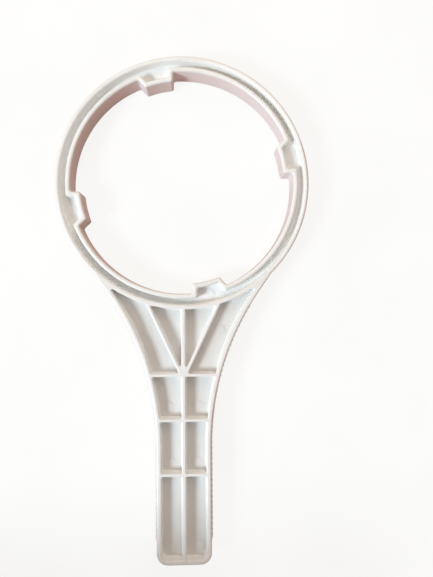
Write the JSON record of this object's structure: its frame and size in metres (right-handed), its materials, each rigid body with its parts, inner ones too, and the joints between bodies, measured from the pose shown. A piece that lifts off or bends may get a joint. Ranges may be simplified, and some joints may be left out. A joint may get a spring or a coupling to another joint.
{
  "type": "filter housing wrench",
  "caption": "Moulded plastic housing wrench: a ring with inward saw-tooth lugs on a flat, ribbed and flared handle with ridged sides, to turn a water filter's housing.",
  "frame": {"origin": "centre of the ring, in the plane of the back crests", "axes": "+Z out of the front, square to the web; the handle runs along -Y"},
  "size_m": [0.1196, 0.2381, 0.012],
  "materials": {
    "white_plastic": "satin, as moulded"
  },
  "bodies": {
    "root": {"centre_rib": "white_plastic", "cross_rib_lower": "white_plastic", "cross_rib_middle": "white_plastic", "cross_rib_upper": "white_plastic", "diagonal_rib_left": "white_plastic", "diagonal_rib_right": "white_plastic", "grip_ridges_left": "white_plastic", "grip_ridges_right": "white_plastic", "handle_end_wall": "white_plastic", "handle_wall_left": "white_plastic", "handle_wall_right": "white_plastic", "handle_web": "white_plastic", "lug_1": "white_plastic", "lug_2": "white_plastic", "lug_3": "white_plastic", "lug_4": "white_plastic", "ring_inner_wall_1": "white_plastic", "ring_inner_wall_2": "white_plastic", "ring_inner_wall_3": "white_plastic", "ring_inner_wall_4": "white_plastic", "ring_outer_wall": "white_plastic", "ring_web": "white_plastic"}
  },
  "joints": []
}
